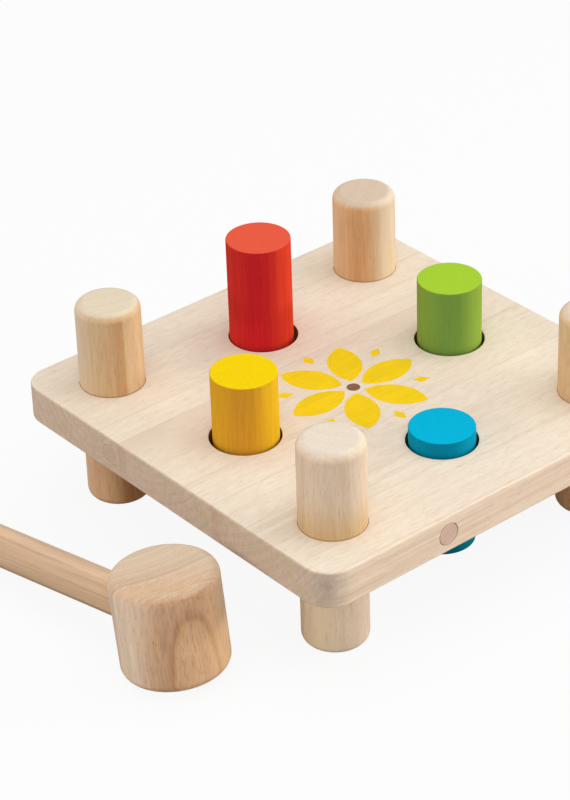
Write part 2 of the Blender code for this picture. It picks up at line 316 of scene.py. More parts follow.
class Recipe(Nodes):
    """One material's nodes, from its coordinates to its shader."""

    def __init__(self, name, place):
        self.material = bpy.data.materials.new(name)
        self.material.use_nodes = True
        super().__init__(self.material.node_tree)
        self.shader = self.tree.nodes["Principled BSDF"]
        self.where = self.step("ShaderNodeTexCoord").outputs
        self.grain = self.seat(place)
        self.axis = axis_of(place)

    def fill(self, tone, noise):
        """Start from one colour, with a noise for its relief and its finish."""
        self.tone, self.relief, self.coarse = opaque(tone), noise, noise

    def times(self, value, *others):
        """Return the product of some values."""
        for other in others:
            value = self.sums("MULTIPLY", value, other)
        return value

    def rest(self, share):
        """Return what a share leaves of one."""
        return self.sums("SUBTRACT", 1.0, share)

    def vector(self, operation, first, second, result="Vector"):
        """Add one vector sum and return its vector."""
        made = self.step("ShaderNodeVectorMath", {0: first, 1: second}, operation=operation)
        return made.outputs[result]

    def measure(self, operation, first, second):
        """Add one vector sum and return its number."""
        return self.vector(operation, first, second, "Value")

    def parts(self, where):
        """Return the three parts of a vector."""
        return self.step("ShaderNodeSeparateXYZ", {0: where}).outputs

    def height(self):
        """Return the height above the floor, with the set at rest."""
        return self.parts(self.where["Object"])[2]

    def noise(self, where, waves, detail=2.0, rough=0.5):
        """Return noise with so many waves to the metre along each axis."""
        spread = self.vector("MULTIPLY", where, waves)
        values = {"Vector": spread, "Scale": 1.0, "Detail": detail, "Roughness": rough}
        return self.step("ShaderNodeTexNoise", values).outputs[0]

    def ease(self, value, low, high, first=0.0, last=1.0):
        """Carry a value smoothly from one range to another."""
        values = {"Value": value, "From Min": low, "From Max": high, "To Min": first, "To Max": last}
        return self.step("ShaderNodeMapRange", values, interpolation_type="SMOOTHSTEP").outputs[0]

    def swing(self, noise, first, last):
        """Carry a noise over its usual swing to a range."""
        return self.ease(noise, 0.3, 0.7, first, last)

    def pattern(self, name, where=None):
        """Return the share of one of the patterns, in the piece's own frame or another."""
        kind = PATTERNS[name]
        noise = self.noise(where or self.grain, kind.waves, kind.detail, kind.rough)
        return self.ease(noise, kind.low, kind.high, kind.first, kind.last)

    def around(self, noise, width):
        """Spread a noise round zero."""
        return self.sums("MULTIPLY_ADD", noise, width, -width / 2)

    def near(self, value, line, full, gone, most):
        """Return the share of a thin line: most as far as full, and nothing from gone on."""
        away = self.sums("ABSOLUTE", self.sums("SUBTRACT", value, line))
        return self.ease(away, full, gone, most, 0.0)

    def ramp(self, value, stops):
        """Carry a value through a line of grey stops."""
        made = self.step("ShaderNodeValToRGB", {"Fac": value})
        elements = made.color_ramp.elements
        while len(elements) < len(stops):
            elements.new(0.5)
        for element, (place, grey) in zip(elements, stops):
            element.position = place
            element.color = (grey, grey, grey, 1.0)
        return made.outputs[0]

    def mix(self, share, first, second):
        """Blend two colours."""
        made = self.step("ShaderNodeMix", data_type="RGBA")
        for socket, value in zip((made.inputs[0], made.inputs[6], made.inputs[7]), (share, first, second)):
            self.feed(socket, value)
        return made.outputs[2]

    def blend(self, tone, *shares, shade=1.0):
        """Lay a colour, or a shade of it, over the tone by the product of some shares."""
        self.tone = self.mix(self.times(*shares), self.tone, opaque(tone, shade))

    def wash(self, tint, *shares):
        """Multiply the tone by a tint, by the product of some shares."""
        tint = self.mix(self.times(*shares), WHITE, opaque(tint))
        self.tone = self.vector("MULTIPLY", self.tone, tint)

    def seat(self, place):
        """Return coordinates in a piece's own frame, whose Z runs along the grain."""
        back = place.inverted()
        values = {"Vector": self.where["Object"], "Location": back.translation, "Rotation": back.to_euler()}
        return self.step("ShaderNodeMapping", values).outputs[0]

    def look(self, way):
        """Return how far a face looks one way, from -1 to 1."""
        return self.measure("DOT_PRODUCT", self.where["Normal"], way)

    def facing(self, axis, low, high):
        """Return how far a face looks along an axis, either way."""
        return self.ease(self.sums("ABSOLUTE", self.look(axis)), low, high)

    def finish(self, kind, dull=None):
        """Link the tone, the relief and a kind of finish, whose roughness follows the coarse grain."""
        low, high, specular = FINISHES[kind]
        rough = self.swing(self.coarse, low, high)
        if dull is not None:
            rough = self.sums("MAXIMUM", rough, dull)
        bump = {"Height": self.relief, "Strength": BUMP_STRENGTH, "Distance": BUMP_DEPTH}
        self.feed(self.shader.inputs["Base Color"], self.tone)
        self.feed(self.shader.inputs["Roughness"], rough)
        self.feed(self.shader.inputs["Specular IOR Level"], specular)
        self.feed(self.shader.inputs["Normal"], self.step("ShaderNodeBump", bump).outputs[0])
        return self.material


def opaque(tone, share=1.0):
    """Return a colour with its alpha, made darker or paler by a share."""
    return (tone[0] * share, tone[1] * share, tone[2] * share, 1.0)


Bow = namedtuple("Bow", "height fall run")
# Darkness through one growth ring: its place from 0 to 1, and its grey
RINGS = ((0.0, 0.10), (0.45, 0.22), (0.85, 1.0), (0.94, 0.8), (1.0, 0.10))
HEAD_RINGS = ((0.0, 0.05), (0.55, 0.12), (0.80, 0.70), (0.93, 1.0), (0.985, 0.95), (1.0, 0.05))
# The noise at which streaks start and are full, and the shares of coarse and fine ones
STREAKS_SHOW = (0.32, 0.72)
COARSE_SHARE = 0.6
FINE_SHARE = 0.4
# Tint of the pores, and their depth beside the fine grain
PORE_TINT = (0.74, 0.60, 0.47)
PORE_DEPTH = -0.8
# Share of the specks in cut ends
SPECK_SHARE = 0.3


def timber(
    recipe, pale, dark, end, pith, spacing, grain=None, lean=0.0, bow=None, ring=0.4, layer=0.3, streak=0.4,
    pore=0.3, edge=(0.55, 0.95), sway=0.55, run=1.0, thin=1.0, pits=(2600.0, 2600.0, 120.0), arcs=0.3,
    stops=RINGS,
):
    """Give a recipe the tone and the figure of a solid wood.

    Rings lie round the pith, which leans or bows along the grain, so sides
    show arches and cut ends show arcs.  They sway by a share of their
    spacing.  Thin layers follow the rings.  Streaks and pores lie along the
    grain: a higher run makes the streaks shorter, a higher thin narrower.
    """
    grain = grain or recipe.grain
    wander = recipe.sums("SUBTRACT", recipe.noise(grain, waves=(34.0, 34.0, 7.0)), 0.5)
    flat = recipe.vector("MULTIPLY", grain, (1.0, 1.0, 0.0))
    along = recipe.parts(grain)[2]
    drift = recipe.sums("MULTIPLY_ADD", along, lean, recipe.measure("DISTANCE", flat, (*pith, 0.0)))
    if bow:
        swell = recipe.sums("DIVIDE", recipe.sums("SUBTRACT", along, bow.height), bow.run)
        swell = recipe.rest(recipe.sums("EXPONENT", swell))
        drift = recipe.sums("MULTIPLY_ADD", swell, bow.fall, drift)
    drift = recipe.sums("MULTIPLY_ADD", wander, sway * spacing, drift)
    rings = recipe.ramp(recipe.sums("FRACT", recipe.sums("DIVIDE", drift, spacing)), stops)
    sheets = recipe.step("ShaderNodeCombineXYZ", {0: drift, 2: along}).outputs[0]
    layers = recipe.noise(sheets, waves=(1050.0, 1.0, 15.0 * run), rough=0.6)
    layers = recipe.ease(layers, low=0.34, high=0.68)
    coarse = recipe.noise(grain, waves=(420.0 * thin, 420.0 * thin, 9.0 * run), detail=3.0, rough=0.6)
    fine = recipe.noise(grain, waves=(1600.0 * thin, 1600.0 * thin, 18.0 * run), rough=0.6)
    shade = recipe.sums("MULTIPLY_ADD", layers, layer, recipe.times(rings, ring))
    shade = recipe.sums("MULTIPLY_ADD", recipe.ease(coarse, *STREAKS_SHOW), streak * COARSE_SHARE, shade)
    streaks = recipe.ease(fine, *STREAKS_SHOW)
    shade = recipe.sums("MULTIPLY_ADD", streaks, streak * FINE_SHARE, shade, clamp=True)
    side = recipe.mix(shade, opaque(pale), opaque(dark))
    pores = recipe.ease(recipe.noise(grain, pits, detail=1.0), low=0.58, high=0.74)
    pores = recipe.times(pores, recipe.rest(recipe.facing(recipe.axis, low=0.08, high=0.45)))
    pit = opaque([part * tint for part, tint in zip(dark, PORE_TINT)])
    side = recipe.mix(recipe.times(pores, pore), side, pit)
    specks = recipe.times(recipe.pattern("cut_specks", grain), SPECK_SHARE)
    cut = recipe.sums("MULTIPLY_ADD", rings, arcs, specks)
    cut = recipe.sums("MULTIPLY_ADD", layers, arcs, cut, clamp=True)
    cut = recipe.mix(cut, opaque(end), opaque(end, share=0.78))
    recipe.tone = recipe.mix(recipe.facing(recipe.axis, *edge), side, cut)
    recipe.relief = recipe.sums("MULTIPLY_ADD", pores, PORE_DEPTH, fine)
    recipe.coarse, recipe.drift = coarse, drift


def link(name, data):
    """Make an object of a mesh, a lamp or a camera and put it in the scene."""
    made = bpy.data.objects.new(name, data)
    bpy.context.scene.collection.objects.link(made)
    return made


def as_mesh(name, shape):
    """Turn a bmesh into a mesh with its faces outwards, and free it."""
    bmesh.ops.remove_doubles(shape, verts=shape.verts, dist=TINY)
    bmesh.ops.recalc_face_normals(shape, faces=shape.faces)
    mesh = bpy.data.meshes.new(name)
    shape.to_mesh(mesh)
    shape.free()
    return mesh


def piece(name, shape, material, body, nodes=()):
    """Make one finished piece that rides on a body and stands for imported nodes."""
    mesh = as_mesh(name, shape)
    mesh.shade_smooth()
    mesh.set_sharp_from_angle(angle=SHARP)
    mesh.materials.append(material)
    made = link(name, mesh)
    normals = made.modifiers.new("even_shading", "WEIGHTED_NORMAL")
    normals.keep_sharp = True
    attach(made, body)
    if nodes:
        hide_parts(*nodes)


def soften(shape, edges, width, steps):
    """Round over some edges."""
    bmesh.ops.bevel(
        shape, geom=edges, offset=width, offset_type="OFFSET", segments=steps, profile=0.5, affect="EDGES",
        material=-1, clamp_overlap=True,
    )


def level(shape):
    """Return the edges that lie flat."""
    return [edge for edge in shape.edges if abs(edge.verts[0].co.z - edge.verts[1].co.z) < TINY]


def bar(diameter, low, high, rounding=0.0, sides=DOWEL_SIDES, steps=8):
    """Return a round bar along Z with rounded ends."""
    shape = bmesh.new()
    bmesh.ops.create_cone(
        shape, cap_ends=True, segments=sides, radius1=diameter / 2, radius2=diameter / 2, depth=high - low,
        matrix=Matrix.Translation((0.0, 0.0, (low + high) / 2)),
    )
    if rounding > 0.0:
        soften(shape, level(shape), rounding, steps)
    return shape


def put(shape, matrix):
    """Move a whole shape to its place."""
    bmesh.ops.transform(shape, matrix=matrix, verts=shape.verts)
    return shape


def standing(node, rounding, steps):
    """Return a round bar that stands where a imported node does, and its place on the floor."""
    low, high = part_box(node)
    place = Matrix.Translation((middle(node).x, middle(node).y, 0.0))
    return put(bar(span(node).x, low.z, high.z, rounding, steps=steps), place), place


def carve(blank, tools):
    """Cut every tool out of a blank and return the cut shape."""
    work = link("blank", as_mesh("blank", blank))
    spare = [work]
    for tool in tools:
        cutter = link("tool", as_mesh("tool", tool))
        cut = work.modifiers.new("cut", "BOOLEAN")
        cut.object = cutter
        cut.operation = "DIFFERENCE"
        cut.solver = "EXACT"
        spare.append(cutter)
    bpy.context.view_layer.update()
    mesh = bpy.data.meshes.new_from_object(work.evaluated_get(bpy.context.evaluated_depsgraph_get()))
    shape = bmesh.new()
    shape.from_mesh(mesh)
    for item in spare:
        bpy.data.objects.remove(item, do_unlink=True)
    bpy.data.meshes.remove(mesh)
    return shape


def on_rim(edge, heights, holes):
    """Say whether an edge lies on a hole's rim in one of the deck's faces."""
    for vertex in edge.verts:
        if not any(abs(vertex.co.z - height) < TINY for height in heights):
            return False
        if not any(abs((vertex.co - place).xy.length - radius) < RIM_SLACK for place, radius in holes):
            return False
    return True


def hole_place(dye, reach):
    """Return the middle of a peg's hole, square to the deck; a loose peg may stand off it."""
    way = middle(f"peg_{dye}") - DECK_MIDDLE
    axis = 0 if abs(way.x) > abs(way.y) else 1
    place = DECK_MIDDLE.copy()
    place[axis] += math.copysign(reach, way[axis])
    return place


def bore_place(dye):
    """Return the frame of a friction unit's bore: Z runs out along the retaining dowel."""
    rod = middle(f"friction_rod_{dye}")
    out = middle(f"retaining_dowel_{dye}") - rod
    return Matrix.Translation(rod) @ out.to_track_quat("Z", "Y").to_matrix().to_4x4()


def axis_of(place):
    """Return the way that a frame's Z points."""
    return place.to_3x3() @ Vector(UP)


def crosses_grain(place):
    """Say whether a bore runs across the deck's grain."""
    out = axis_of(place)
    return abs(out.y) > abs(out.x)


def mallet_place(sizes):
    """Return the frame of the mallet: Z along the head, X along the handle."""
    turn = Euler((0.0, sizes.mallet_tilt, sizes.mallet_heading)).to_matrix().to_4x4()
    return Matrix.Translation(middle("mallet_head")) @ turn


# Shift of the figure from one stave to the next
STAVE_SHIFT = (-0.018, -0.030, 1.37)
DECK_ENDS = (0.35, 0.80)
# Warmer wood of the deck's long edges
EDGE_TINT = (1.055, 0.97, 0.90)
# Redder wood beside the joints, where the cut ends show it
JOINT_TINT = (0.94, 0.82, 0.80)
# Saw marks across the cut ends
SAWN_TINT = (0.84, 0.79, 0.76)
# Share of the rosy tone all over the middle stave
CORE_ROSE = 0.06
# Middle of the worn patch, in the deck's own frame
WORN_PLACE = (-0.0015, -0.0866, -0.0864)
# Steep faces closer to the deck's middle than this are the walls of its holes
WALLS_WITHIN = 0.080


def deck_timber(tones):
    """Return the deck's wood: three staves, each with its own figure, and their glue lines."""
    recipe = Recipe("deck_timber", DECK_GRAIN)
    across, along = recipe.parts(recipe.grain)[1:]
    joints = tuple(joint - DECK_MIDDLE.y for joint in JOINTS)
    past = [recipe.sums("GREATER_THAN", across, joint) for joint in joints]
    stave = recipe.sums("ADD", *past)
    figure = recipe.vector("ADD", recipe.grain, recipe.vector("MULTIPLY", stave, STAVE_SHIFT))
    timber(
        recipe, tones.deck_pale, tones.deck_dark, tones.deck_end, grain=figure, pith=(-0.056, -0.013),
        spacing=0.0036, lean=0.008, ring=0.10, layer=0.08, streak=0.36, pore=0.32, edge=DECK_ENDS,
        run=14.0, thin=1.5, pits=(2300.0, 2300.0, 210.0), arcs=0.42,
    )
    core = recipe.sums("SUBTRACT", *past)
    cloud = recipe.pattern("rosy_cloud", figure)
    recipe.blend(tones.deck_rose, recipe.sums("MULTIPLY_ADD", core, CORE_ROSE, cloud))
    band = recipe.ease(recipe.sums("SUBTRACT", joints[1], across), low=0.0, high=0.012, first=0.62, last=0.0)
    fade = recipe.ease(along, low=-0.09, high=-0.02, first=1.4, last=1.0)
    recipe.blend(tones.deck_rose, band, recipe.pattern("rosy_band"), fade, core)
    recipe.blend(tones.deck_dark, recipe.pattern("long_lines", figure), shade=0.92)
    ends = recipe.facing(ALONG, *DECK_ENDS)
    recipe.blend(tones.deck_olive, ends, recipe.pattern("end_patch"))
    recipe.wash(SAWN_TINT, ends, recipe.pattern("saw_marks"))
    for joint in joints:
        beyond = recipe.sums("SUBTRACT", joint, across)
        stripe = recipe.ease(beyond, low=0.001, high=0.008, first=0.6, last=0.0)
        recipe.wash(JOINT_TINT, stripe, recipe.sums("GREATER_THAN", beyond, 0.0), ends)
    edges = recipe.facing(ACROSS, low=0.5, high=0.9)
    recipe.wash(EDGE_TINT, edges)
    lines = recipe.sums("ADD", recipe.pattern("edge_bands"), recipe.pattern("edge_lines"))
    recipe.blend(tones.deck_edge, edges, lines)
    steep = recipe.rest(recipe.facing(UP, low=0.3, high=0.7))
    away = recipe.measure("DISTANCE", recipe.grain, WORN_PLACE)
    worn = recipe.ease(away, low=0.002, high=0.014, first=0.36, last=0.0)
    recipe.blend(tones.deck_grey, worn, recipe.pattern("worn_corner"), steep)
    torn = recipe.noise(recipe.grain, waves=(900.0, 900.0, 900.0))
    torn = recipe.sums("ADD", away, recipe.around(torn, width=0.004))
    speck = recipe.ease(torn, low=0.0002, high=0.0026, first=0.34, last=0.0)
    recipe.blend(tones.deck_grey, speck, steep, shade=0.5)
    for joint in joints:
        line = recipe.near(across, joint, full=0.00008, gone=0.0004, most=0.16)
        recipe.blend(tones.deck_dark, line, shade=0.72)
    reach = recipe.sums("MAXIMUM", recipe.sums("ABSOLUTE", across), recipe.sums("ABSOLUTE", along))
    wall = recipe.times(recipe.sums("LESS_THAN", reach, WALLS_WITHIN), steep)
    # The holes' walls: drilled wood, made darker as painted shade in the narrow gaps round legs and pegs.
    recipe.blend(tones.bored_wood_and_shade, wall)
    return recipe.finish("deck", wall)


LEG_WOODS = {
    "front": {
        "pale": (0.85, 0.67, 0.495), "dark": (0.65, 0.46, 0.305), "end": (0.80, 0.695, 0.56),
        "pith": (0.034, 0.021), "spacing": 0.0062, "streak": 0.32, "pore": 0.36,
    },
    "right": {
        "pale": (0.79, 0.57, 0.335), "dark": (0.60, 0.365, 0.18), "end": (0.75, 0.63, 0.47),
        "pith": (-0.041, 0.008), "spacing": 0.0071, "streak": 0.42, "pore": 0.40,
    },
    "back": {
        "pale": (0.76, 0.465, 0.235), "dark": (0.55, 0.27, 0.105), "end": (0.69, 0.535, 0.40),
        "pith": (-0.020, 0.031), "spacing": 0.0066, "streak": 0.36, "pore": 0.34, "edge": (0.30, 0.80),
    },
    "left": {
        "pale": (0.75, 0.53, 0.31), "dark": (0.565, 0.335, 0.165), "end": (0.76, 0.65, 0.485),
        "pith": (0.012, 0.037), "spacing": 0.0058, "streak": 0.42, "pore": 0.40,
    },
}
# Painted light on a leg's flanks that the lamps at the right and left light, laid as a paler tone: the way
# that it faces, how far round it starts and is full, its colour and share
LEG_LIT_FLANKS = {
    "back": (
        (TO_RIGHT, (-0.05, 0.60), (0.75, 0.645, 0.475), 0.75),
        (TO_LEFT, (0.25, 0.98), (0.84, 0.58, 0.345), 0.7),
    ),
    "left": ((TO_LEFT, (0.25, 0.98), (0.81, 0.645, 0.49), 0.8),),
}
# Painted light and shade on a leg's lower half, below the deck: the front leg's lighter, against the deck's
# shadow, the others' warmer and the back leg's also darker; and the legs on which it comes in from the right
# flank to the left
FOOT_PAINTED_LIGHT = {
    "front": (1.38, 1.40, 1.28),
    "right": (1.18, 0.90, 0.74),
    "back": (1.0, 0.9, 0.8),
    "left": (1.12, 0.98, 0.92),
}
FADING_FEET = ("front",)
# Painted shade on a leg's lower half, under the deck, strongest on the right flank: its tint
FOOT_PAINTED_SHADE = {"left": (0.84, 0.68, 0.55)}
# A stripe of heartwood up a leg: where it fades in, where it ends, and its tint
LEG_STRIPE = {"left": ((-0.05, 0.34), (0.45, 0.51), (0.87, 0.77, 0.66))}
# Share of the painted shade just above the deck, darker and warmer towards the deck, and how far up it goes
LEG_BASE_SHADE = {"front": 1.0, "right": 0.15, "back": 0.20, "left": 0.22}
LEG_BASE_HEIGHT = 0.018


def leg_timber(corner, place, tones):
    """Return one leg's wood."""
    recipe = Recipe(f"leg_timber_{corner}", place)
    timber(
        recipe, lean=-0.02, ring=0.16, layer=0.22, sway=0.25, run=4.0, arcs=0.16,
        pits=(3000.0, 3000.0, 250.0), **LEG_WOODS[corner],
    )
    height = recipe.height()
    patchy = recipe.swing(recipe.coarse, first=1.0, last=0.7)
    higher = recipe.ease(height, low=0.02, high=DECK_HIGH.z, first=0.5)
    # Painted light: a paler tone on the flanks facing the lamps, patchy with the grain and fainter low down
    for way, turn, shade, most in LEG_LIT_FLANKS.get(corner, ()):
        recipe.blend(shade, recipe.ease(recipe.look(way), *turn, last=most), patchy, higher)
    # Painted light and shade below the deck, as a tint
    below = recipe.sums("LESS_THAN", height, DECK_MIDDLE.z)
    left = recipe.look(TO_LEFT)
    fade = recipe.ease(left, low=-0.9, high=0.9) if corner in FADING_FEET else 1.0
    recipe.wash(FOOT_PAINTED_LIGHT[corner], below, fade)
    if corner in LEG_STRIPE:
        start, stop, tint = LEG_STRIPE[corner]
        right = recipe.sums("SUBTRACT", recipe.around(recipe.coarse, width=0.12), left)
        upright = recipe.rest(recipe.facing(UP, low=0.05, high=0.5))
        recipe.wash(tint, recipe.ease(right, *start), recipe.rest(recipe.ease(right, *stop)), upright)
    # Painted shade where the deck shades the leg's lower right flank
    if corner in FOOT_PAINTED_SHADE:
        recipe.wash(FOOT_PAINTED_SHADE[corner], below, recipe.rest(recipe.ease(left, low=-0.95, high=0.5)))
    # Painted shade on the leg just above the deck, darkest where it meets the deck
    top = DECK_HIGH.z + LEG_BASE_HEIGHT
    base = recipe.ease(height, low=DECK_HIGH.z, high=top, first=LEG_BASE_SHADE[corner], last=0.0)
    recipe.wash(tones.leg_base, base, recipe.sums("GREATER_THAN", height, DECK_MIDDLE.z))
    # Painted shade: a dark line where the leg meets the deck's top and underside
    for face in (DECK_LOW.z, DECK_HIGH.z):
        recipe.blend(tones.leg_contact_shade, recipe.near(height, face, full=0.0001, gone=0.0007, most=0.5))
    return recipe.finish("leg")


# How strongly the grain shows through each stain, and how dark its lines are
GRAIN_SHOWS = {"red": 1.0, "yellow": 0.9, "green": 0.55, "blue": 0.35}
GRAIN_SHADE = 0.74
# How much the streaks hold back the painted light on a peg's flanks
STREAKS_HOLD = 0.4
# Painted light and shade near a peg's lower end: the red peg lighter against the green peg's shadow, the blue
# peg darker in the deck's shadow; heights above the end where the tint starts to fade and is gone, and the
# tint
LOW_END_LIGHT = {"red": (0.010, 0.025, (1.20, 1.10, 1.14)), "blue": (0.004, 0.014, (0.80, 0.68, 0.60))}


def stain(dye, place, tones):
    """Return a stained peg's wood, with painted light: a paler tone along the two flanks that the lamps at
    the right and left light.
    """
    recipe = Recipe(f"{dye}_stain", place)
    side = getattr(tones, dye)
    shows = GRAIN_SHOWS[dye]
    timber(
        recipe, side, opaque(side, GRAIN_SHADE), getattr(tones, f"{dye}_top"),
        pith=(0.03, -0.02), spacing=0.006, lean=0.06, ring=0.18 * shows, layer=0.25 * shows,
        streak=0.45 * shows, pore=0.30 * shows, run=1.5, arcs=0.04,
    )
    # Painted light: the paler tone on the right flank, towards the side lamp, and some of it on the left
    # flank, towards the fill lamp.
    right = recipe.look(TO_RIGHT)
    near = recipe.ease(right, low=0.05, high=0.90, last=0.80)
    far = recipe.ease(right, low=-0.95, high=-0.25, first=0.4, last=0.0)
    held = recipe.ease(recipe.coarse, low=0.35, high=0.65, first=1.0, last=1.0 - STREAKS_HOLD * shows)
    recipe.blend(getattr(tones, f"{dye}_lit_flank"), recipe.sums("ADD", near, far), held)
    # Painted light at the red peg's lower end and painted shade at the blue's.
    if dye in LOW_END_LIGHT:
        fades, gone, tint = LOW_END_LIGHT[dye]
        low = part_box(f"peg_{dye}")[0].z
        recipe.wash(tint, recipe.ease(recipe.height(), low + fades, low + gone, first=1.0, last=0.0))
    return recipe.finish("stain")


def plug_timber(dye, place, tones):
    """Return a retaining dowel's wood, whose cut end shows in the deck's edge."""
    recipe = Recipe(f"plug_timber_{dye}", place)
    end, arcs = (tones.plug, 0.33) if crosses_grain(place) else (tones.plug_end, 0.26)
    timber(
        recipe, tones.mallet_pale, tones.mallet_dark, end, pith=(0.014, -0.022), spacing=0.0016, ring=0.45,
        layer=0.35, streak=0.5, pore=0.4, arcs=arcs,
    )
    return recipe.finish("plug")


# Tint of the mallet's dark flecks and thin lines
FLECK_TINT = (0.80, 0.70, 0.58)
HEAD_ENDS = (0.3, 0.75)
# How far from the pith the arch's thin line lies
ARCH_DRIFT = 0.0895
# Share of the flecks outside the heartwood
FLECKS_OUTSIDE = 0.25


def head_timber(place, tones):
    """Return the wood of the mallet's head: one dark arch, with redder heartwood inside it, and painted light
    on its right flank.
    """
    recipe = Recipe("mallet_head_timber", place)
    timber(
        recipe, tones.mallet_pale, tones.mallet_dark, tones.mallet_end, pith=(0.066, -0.0228),
        spacing=0.01796, bow=Bow(height=0.0075, fall=0.0018, run=0.015), ring=0.46, layer=0.24, streak=0.50,
        pore=0.40, sway=0.08, run=5.0, edge=HEAD_ENDS, pits=(2100.0, 2100.0, 270.0), arcs=0.42,
        stops=HEAD_RINGS,
    )
    ends = recipe.facing(recipe.axis, *HEAD_ENDS)
    side = recipe.rest(ends)
    # Painted light: a paler tone on the right flank, towards the side lamp, against the deck's shadow; lower
    # down the flank takes the arch's darker tint, more so towards the bottom.
    head_lit_flank = recipe.times(recipe.ease(recipe.look(TO_RIGHT), low=0.60, high=0.82, last=0.80), side)
    heart = recipe.times(recipe.ease(recipe.drift, low=0.080, high=0.0885, last=0.85), side)
    lower = recipe.ease(recipe.height(), low=0.012, high=0.032, first=0.85, last=0.10)
    heart = recipe.sums("MAXIMUM", heart, recipe.times(head_lit_flank, lower))
    recipe.blend(tones.mallet_pale, head_lit_flank, shade=0.97)
    recipe.wash(tones.mallet_heart, heart)
    recipe.wash(FLECK_TINT, recipe.near(recipe.drift, ARCH_DRIFT, full=0.0001, gone=0.0007, most=0.65), side)
    redder = recipe.sums("ADD", heart, FLECKS_OUTSIDE)
    recipe.wash(FLECK_TINT, recipe.pattern("head_flecks"), side, redder)
    recipe.wash(FLECK_TINT, recipe.pattern("head_specks"), ends)
    front = recipe.vector("SUBTRACT", recipe.where["Object"], middle("mallet_head"))
    front = recipe.ease(recipe.measure("DOT_PRODUCT", front, TO_FRONT), low=-0.012, high=0.017)
    rim = recipe.facing(recipe.axis, low=0.1, high=0.5)
    recipe.wash(tones.mallet_rim, front, recipe.pattern("torn_rim"), rim)
    return recipe.finish("mallet")


# The handle's wood beside the head's, and the way that its underside faces, where shade is painted
HANDLE_TINT = (1.0, 0.95, 0.86)
UNDERSIDE = (-0.25, -0.30, -0.92)


def handle_timber(place, tones):
    """Return the wood of the mallet's handle, with long lines along it."""
    recipe = Recipe("mallet_handle_timber", place)
    timber(
        recipe, tones.mallet_pale, tones.mallet_dark, tones.mallet_end, pith=(0.050, 0.004), spacing=0.0120,
        lean=0.006, ring=0.40, layer=0.32, streak=0.38, pore=0.22,
    )
    recipe.wash(HANDLE_TINT, 1.0)
    # Painted shade on the handle's underside
    recipe.wash(tones.handle_painted_shade, recipe.ease(recipe.look(UNDERSIDE), low=-1.0, high=-0.45))
    recipe.wash(FLECK_TINT, recipe.pattern("handle_lines"))
    return recipe.finish("mallet")


# Share of the ink's fine lines
INK_SHARE = 0.5


def ink(name, shade):
    """Return printing ink through which the grain shows faintly."""
    recipe = Recipe(name, DECK_GRAIN)
    fine = recipe.noise(recipe.grain, waves=(800.0, 800.0, 30.0))
    recipe.fill(shade, fine)
    lines = recipe.ease(fine, low=0.4, high=0.8)
    share = recipe.sums("MULTIPLY_ADD", lines, INK_SHARE, recipe.pattern("ink_patch"))
    recipe.blend(shade, share, shade=0.86)
    return recipe.finish("ink")


def rubber(tones):
    """Return dull black rubber with a ground surface."""
    recipe = Recipe("rod_rubber", Matrix.Identity(4))
    recipe.fill(tones.rubber, recipe.noise(recipe.grain, waves=(2600.0, 2600.0, 2600.0)))
    recipe.blend(tones.rubber, recipe.pattern("rubber_bloom"), shade=2.2)
    return recipe.finish("rubber")


class BENCH_OT_deck(bpy.types.Operator):
    """Round over, bore and glue up the deck's three staves"""

    bl_idname = "bench.deck"
    bl_label = "Deck"

    def execute(self, context):
        sizes = context.scene.bench_sizes
        wood = deck_timber(context.scene.bench_colours)
        holes = self.holes(sizes)
        ends = (DECK_LOW.y - sizes.deck_corner, *JOINTS, DECK_HIGH.y + sizes.deck_corner)
        for row, node, near, far in zip(ROWS, STAVES, ends, ends[1:]):
            blank = self.blank(sizes, near + sizes.stave_gap / 2, far - sizes.stave_gap / 2)
            shape = carve(blank, self.tools(sizes, holes))
            bmesh.ops.remove_doubles(shape, verts=shape.verts, dist=TINY)
            rims = [edge for edge in shape.edges if on_rim(edge, (DECK_LOW.z, DECK_HIGH.z), holes)]
            soften(shape, rims, sizes.hole_ease, 3)
            piece(f"{row}_stave", shape, wood, "bench", (node,))
        return {"FINISHED"}

    def blank(self, sizes, near, far):
        """Return a stave's share of the rounded deck, from one joint to the next."""
        shape = bmesh.new()
        size = Matrix.Diagonal((*(DECK_HIGH - DECK_LOW), 1.0))
        bmesh.ops.create_cube(shape, size=1.0, matrix=Matrix.Translation(DECK_MIDDLE) @ size)
        flat = set(level(shape))
        soften(shape, [edge for edge in shape.edges if edge not in flat], sizes.deck_corner, 20)
        soften(shape, level(shape), sizes.deck_round, 8)
        for joint, way in ((near, -1.0), (far, 1.0)):
            whole = shape.verts[:] + shape.edges[:] + shape.faces[:]
            cut = bmesh.ops.bisect_plane(
                shape, geom=whole, dist=TINY, plane_co=(0.0, joint, 0.0), plane_no=(0.0, way, 0.0),
                clear_outer=True,
            )
            rim = [item for item in cut["geom_cut"] if isinstance(item, bmesh.types.BMEdge)]
            if rim:
                bmesh.ops.contextual_create(shape, geom=rim)
        return shape

    def holes(self, sizes):
        """Return the place and radius of every hole through the deck."""
        holes = []
        for corner in CORNERS:
            holes.append((middle(f"leg_{corner}"), span(f"leg_{corner}").x / 2 + sizes.leg_gap))
        for dye in DYES:
            holes.append((hole_place(dye, sizes.peg_reach), sizes.peg_hole / 2))
        return holes

    def tools(self, sizes, holes):
        """Return the bars that cut the holes and the bores of the friction units."""
        tools = []
        for place, radius in holes:
            through = Matrix.Translation((place.x, place.y, 0.0))
            tools.append(put(bar(2 * radius, DECK_LOW.z - OVERSHOOT, DECK_HIGH.z + OVERSHOOT), through))
        far = (DECK_HIGH - DECK_LOW).x
        for dye in DYES:
            place = bore_place(dye)
            gap = sizes.plug_seam if crosses_grain(place) else sizes.plug_gap
            wide = span(f"friction_rod_{dye}").z + 2 * gap
            tools.append(put(bar(wide, -sizes.rod_length / 2 - gap, far, sides=SMALL_SIDES), place))
        return tools


